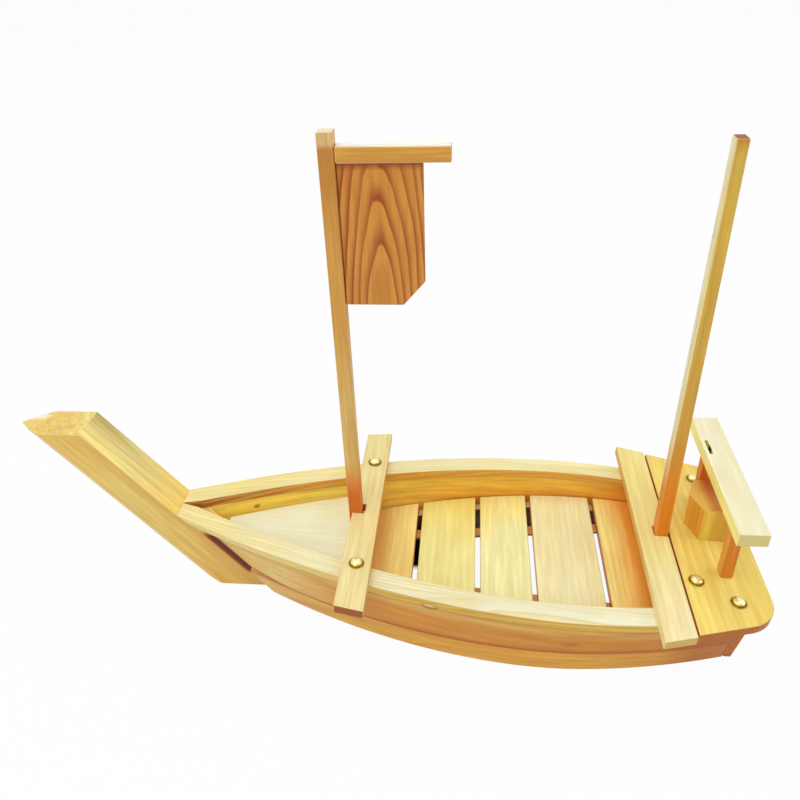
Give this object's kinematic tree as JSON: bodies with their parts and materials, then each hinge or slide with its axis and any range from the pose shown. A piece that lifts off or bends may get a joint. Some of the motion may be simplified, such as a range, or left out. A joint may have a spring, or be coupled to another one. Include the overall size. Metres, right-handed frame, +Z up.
{
  "type": "sushi boat",
  "caption": "Wooden sushi serving boat with a flared plank hull, slatted floor, raked stem, lift-out masts, a flag board and a stern rack.",
  "frame": {"origin": "on the table, below the middle of the bounding box, between the tip of the stem and the rear edge of the stern deck", "axes": "+X from the bow to the stern, +Y to starboard in this frame (the side away from the camera), +Z up along the masts"},
  "size_m": [0.5535, 0.2168, 0.3634],
  "materials": {
    "pale_pine": "planed, thin clear lacquer",
    "golden_pine": "planed, thin clear lacquer",
    "side_pine": "planed, thin clear lacquer",
    "mast_pine": "planed, thin clear lacquer",
    "flag_pine": "planed, stained, thin clear lacquer",
    "brass": "polished"
  },
  "bodies": {
    "hull": {"stem_post": "golden_pine", "lower_plank_port": "side_pine", "lower_plank_starboard": "side_pine", "upper_plank_port": "side_pine", "upper_plank_starboard": "side_pine", "gunwale_cap_port": "pale_pine", "gunwale_cap_starboard": "pale_pine", "transom_board": "side_pine", "foredeck_panel": "pale_pine", "foredeck_bearer": "golden_pine", "floor_slat_1": "pale_pine", "floor_slat_2": "pale_pine", "floor_slat_3": "pale_pine", "floor_slat_4": "pale_pine", "floor_slat_5": "pale_pine", "floor_batten_port": "golden_pine", "floor_batten_starboard": "golden_pine", "front_crossbeam": "pale_pine", "rear_crossbeam": "pale_pine", "stern_deck": "pale_pine", "stern_bearer": "golden_pine", "rack_post_port": "mast_pine", "rack_post_starboard": "mast_pine", "rack_crossbar": "pale_pine", "stern_bitt": "golden_pine", "tack_1": "brass", "tack_2": "brass", "tack_3": "brass", "tack_4": "brass", "tack_5": "brass", "tack_6": "brass"},
    "front_mast_and_flag": {"front_mast": "mast_pine", "flag_yard": "mast_pine", "flag_board": "flag_pine"},
    "rear_mast": {"rear_mast": "mast_pine"}
  },
  "joints": [
    {"name": "front_mast_lift", "type": "slide", "parent": "hull", "child": "front_mast_and_flag", "axis": [0, 0, 1], "range_m": [0, 0.045]},
    {"name": "rear_mast_lift", "type": "slide", "parent": "hull", "child": "rear_mast", "axis": [0, 0, 1], "range_m": [0, 0.045]}
  ]
}
